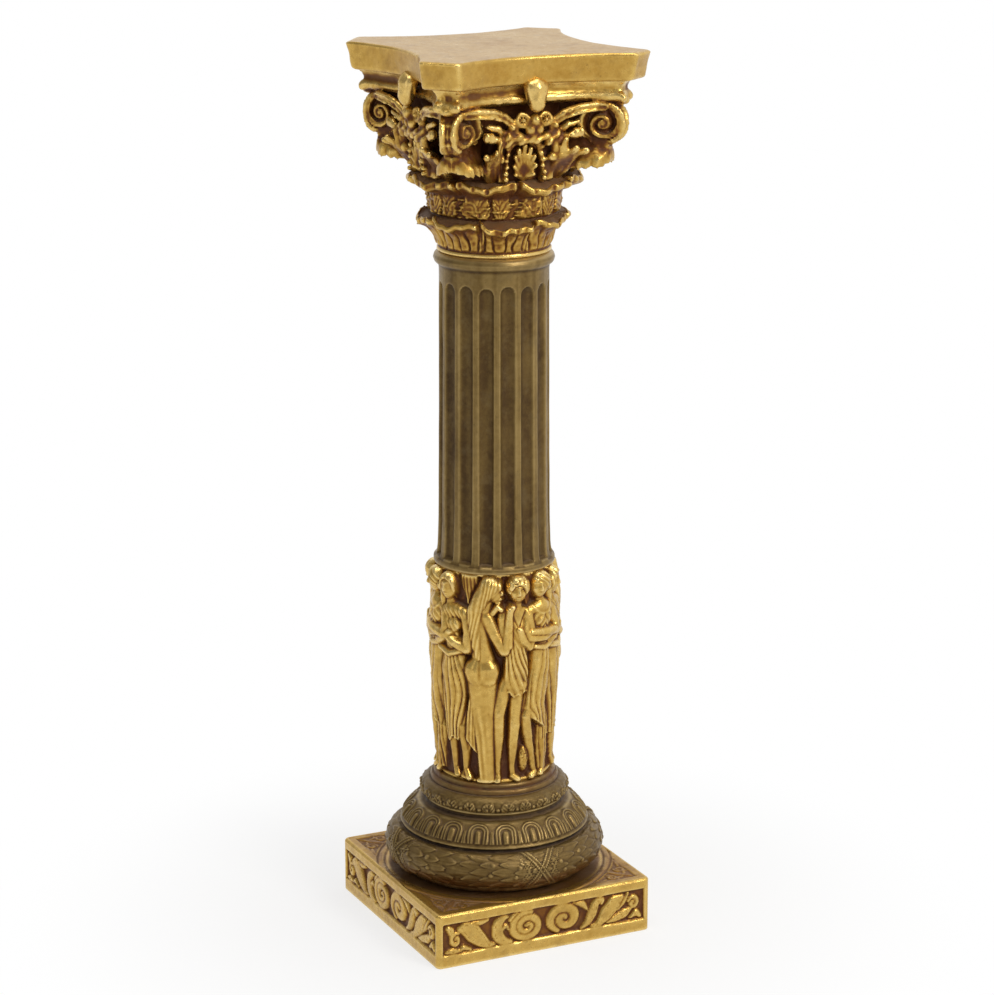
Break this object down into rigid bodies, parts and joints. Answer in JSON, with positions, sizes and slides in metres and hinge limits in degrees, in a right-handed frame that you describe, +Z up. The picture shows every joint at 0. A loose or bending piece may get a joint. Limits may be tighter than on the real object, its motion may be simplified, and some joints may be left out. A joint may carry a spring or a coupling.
{
  "type": "ornamental composite column pedestal",
  "caption": "Tall column pedestal with a square plinth, moulded base, drum of standing draped figures, fluted shaft and leafy volute capital under a square top.",
  "frame": {"origin": "on the axis of the column, at the underside of the plinth", "axes": "+Z up along the axis; the sides of the plinth and of the top face +X, -X, +Y and -Y"},
  "size_m": [0.25, 0.25, 0.94],
  "materials": {
    "antique_gilt": "metallic gilt paint over cast plaster, rubbed bright on the high points, with a red-brown glaze in the hollows",
    "bronze_patina": "satin bronze-olive metallic paint, darker in the hollows and lighter on the edges"
  },
  "bodies": {
    "root": {"plinth": "antique_gilt", "moulded_base": "bronze_patina", "figure_drum": "antique_gilt", "fluted_shaft": "bronze_patina", "capital": "antique_gilt"}
  },
  "joints": []
}
